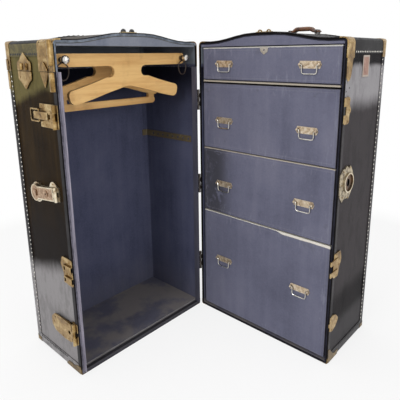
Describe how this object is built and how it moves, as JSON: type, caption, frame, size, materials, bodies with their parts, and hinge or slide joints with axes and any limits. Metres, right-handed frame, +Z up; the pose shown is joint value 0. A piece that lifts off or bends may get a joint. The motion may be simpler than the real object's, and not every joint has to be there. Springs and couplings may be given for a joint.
{
  "type": "wardrobe trunk",
  "caption": "Wardrobe trunk standing open at its hinges: a hanging half with peaked lid, rails and hangers, and a drawer half with bail pulls, swinging drawbolts, lock and lugged catches.",
  "frame": {"origin": "on the floor under the middle of the whole open trunk", "axes": "+Z up, +X along the drawer half's opening from the hinges to its lock side, the drawer half opens towards -Y and the hanging half towards +X"},
  "size_m": [0.8669, 0.8662, 1.0815],
  "materials": {
    "case_board": "black varnished canvas over board",
    "binding": "black vulcanised fibre, nailed",
    "tongue_metal": "lilac-grey coated steel",
    "brass": "worn brass plating",
    "nickel": "worn nickel",
    "hanger_wood": "varnished plywood",
    "lining": "blue-grey paper on board",
    "drawer_board": "blue-grey cloth on board",
    "leather": "worn brown leather"
  },
  "bodies": {
    "hanging_half": {"hanging_shell": "case_board", "hanging_binding": "binding", "hanging_tongue": "tongue_metal", "rail_left": "nickel", "rail_right": "nickel", "ratchet_strip": "brass", "upper_drawbolt_plate": "brass", "lock_plate": "brass", "socket_plate": "brass", "lower_drawbolt_plate": "brass", "hinge_upper_left": "nickel", "hinge_middle_left": "nickel", "hinge_lower_left": "nickel"},
    "lid": {"lid_shell": "case_board", "lid_binding": "binding", "lid_peak_plate": "brass"},
    "rail_loop_left": {"rail_loop_left": "nickel"},
    "rail_loop_right": {"rail_loop_right": "nickel"},
    "hanger_front": {"hanger_front": "hanger_wood"},
    "hanger_trouser": {"hanger_trouser": "hanger_wood"},
    "upper_drawbolt_arm": {"upper_drawbolt_arm": "brass"},
    "upper_drawbolt_loop": {"upper_drawbolt_loop": "brass"},
    "lock_hasp": {"lock_hasp": "brass"},
    "lower_drawbolt_arm": {"lower_drawbolt_arm": "brass"},
    "drawer_half": {"drawer_shell": "case_board", "drawer_binding": "binding", "drawer_frame": "lining", "notch_plate": "brass", "lock_keeper": "brass", "lug_plate_middle": "brass", "lug_plate_lower": "brass", "plaque": "brass", "peak_loops": "brass", "handle_post_left": "brass", "handle_post_right": "brass", "handle_strap": "leather", "hinge_upper_right": "nickel", "hinge_middle_right": "nickel", "hinge_lower_right": "nickel"},
    "drawer_bottom": {"drawer_bottom": "drawer_board", "drawer_bottom_pull_left": "brass", "drawer_bottom_pull_right": "brass"},
    "drawer_bottom_bail_left": {"drawer_bottom_bail_left": "brass"},
    "drawer_bottom_bail_right": {"drawer_bottom_bail_right": "brass"},
    "drawer_low": {"drawer_low": "drawer_board", "drawer_low_pull_left": "brass", "drawer_low_pull_right": "brass"},
    "drawer_low_bail_left": {"drawer_low_bail_left": "brass"},
    "drawer_low_bail_right": {"drawer_low_bail_right": "brass"},
    "drawer_middle": {"drawer_middle": "drawer_board", "drawer_middle_pull_left": "brass", "drawer_middle_pull_right": "brass"},
    "drawer_middle_bail_left": {"drawer_middle_bail_left": "brass"},
    "drawer_middle_bail_right": {"drawer_middle_bail_right": "brass"},
    "drawer_top": {"drawer_top": "drawer_board", "drawer_top_pull_left": "brass", "drawer_top_pull_right": "brass", "drawer_escutcheon": "brass"},
    "drawer_top_bail_left": {"drawer_top_bail_left": "brass"},
    "drawer_top_bail_right": {"drawer_top_bail_right": "brass"}
  },
  "joints": [
    {"name": "case_hinge", "type": "hinge", "parent": "hanging_half", "child": "drawer_half", "pos_m": [-0.13365, 0.1414, 0.5], "axis": [0, 0, 1], "range_deg": [-90, 90]},
    {"name": "lid_hinge", "type": "hinge", "parent": "hanging_half", "child": "lid", "pos_m": [-0.42915, -0.1421, 0.95], "axis": [0, -1, 0], "range_deg": [0, 100]},
    {"name": "rail_loop_left_swing", "type": "hinge", "parent": "hanging_half", "child": "rail_loop_left", "pos_m": [-0.16515, -0.3766, 0.981], "axis": [1, 0, 0], "range_deg": [-15, 60]},
    {"name": "rail_loop_right_swing", "type": "hinge", "parent": "hanging_half", "child": "rail_loop_right", "pos_m": [-0.16515, 0.0924, 0.981], "axis": [-1, 0, 0], "range_deg": [-15, 60]},
    {"name": "hanger_front_slide", "type": "slide", "parent": "hanging_half", "child": "hanger_front", "axis": [-1, 0, 0], "range_m": [-0.005, 0.08]},
    {"name": "hanger_trouser_slide", "type": "slide", "parent": "hanging_half", "child": "hanger_trouser", "axis": [-1, 0, 0], "range_m": [-0.08, 0.11]},
    {"name": "upper_drawbolt_turn", "type": "hinge", "parent": "hanging_half", "child": "upper_drawbolt_arm", "pos_m": [-0.14415, -0.4281, 0.82745], "axis": [0, 0, 1], "range_deg": [0, 180]},
    {"name": "upper_drawbolt_loop_turn", "type": "hinge", "parent": "upper_drawbolt_arm", "child": "upper_drawbolt_loop", "pos_m": [-0.22615, -0.4281, 0.82745], "axis": [0, 0, 1], "range_deg": [0, 110]},
    {"name": "lock_hasp_turn", "type": "hinge", "parent": "hanging_half", "child": "lock_hasp", "pos_m": [-0.17709, -0.4281, 0.59711], "axis": [-0.1246, 0, 0.9922], "range_deg": [0, 180]},
    {"name": "lower_drawbolt_turn", "type": "hinge", "parent": "hanging_half", "child": "lower_drawbolt_arm", "pos_m": [-0.14415, -0.4281, 0.14701], "axis": [0, 0, 1], "range_deg": [0, 180]},
    {"name": "drawer_bottom_slide", "type": "slide", "parent": "drawer_half", "child": "drawer_bottom", "axis": [0, -1, 0], "range_m": [0, 0.21]},
    {"name": "drawer_bottom_bail_left_swing", "type": "hinge", "parent": "drawer_bottom", "child": "drawer_bottom_bail_left", "pos_m": [-0.01315, 0.1392, 0.23105], "axis": [-1, 0, 0], "range_deg": [0, 110]},
    {"name": "drawer_bottom_bail_right_swing", "type": "hinge", "parent": "drawer_bottom", "child": "drawer_bottom_bail_right", "pos_m": [0.31285, 0.1392, 0.23105], "axis": [-1, 0, 0], "range_deg": [0, 110]},
    {"name": "drawer_low_slide", "type": "slide", "parent": "drawer_half", "child": "drawer_low", "axis": [0, -1, 0], "range_m": [0, 0.21]},
    {"name": "drawer_low_bail_left_swing", "type": "hinge", "parent": "drawer_low", "child": "drawer_low_bail_left", "pos_m": [-0.01315, 0.1392, 0.53094], "axis": [-1, 0, 0], "range_deg": [0, 110]},
    {"name": "drawer_low_bail_right_swing", "type": "hinge", "parent": "drawer_low", "child": "drawer_low_bail_right", "pos_m": [0.31285, 0.1392, 0.53094], "axis": [-1, 0, 0], "range_deg": [0, 110]},
    {"name": "drawer_middle_slide", "type": "slide", "parent": "drawer_half", "child": "drawer_middle", "axis": [0, -1, 0], "range_m": [0, 0.21]},
    {"name": "drawer_middle_bail_left_swing", "type": "hinge", "parent": "drawer_middle", "child": "drawer_middle_bail_left", "pos_m": [-0.01315, 0.1392, 0.765], "axis": [-1, 0, 0], "range_deg": [0, 110]},
    {"name": "drawer_middle_bail_right_swing", "type": "hinge", "parent": "drawer_middle", "child": "drawer_middle_bail_right", "pos_m": [0.31285, 0.1392, 0.765], "axis": [-1, 0, 0], "range_deg": [0, 110]},
    {"name": "drawer_top_slide", "type": "slide", "parent": "drawer_half", "child": "drawer_top", "axis": [0, -1, 0], "range_m": [0, 0.21]},
    {"name": "drawer_top_bail_left_swing", "type": "hinge", "parent": "drawer_top", "child": "drawer_top_bail_left", "pos_m": [-0.01315, 0.1392, 0.96022], "axis": [-1, 0, 0], "range_deg": [0, 110]},
    {"name": "drawer_top_bail_right_swing", "type": "hinge", "parent": "drawer_top", "child": "drawer_top_bail_right", "pos_m": [0.31285, 0.1392, 0.96022], "axis": [-1, 0, 0], "range_deg": [0, 110]}
  ]
}
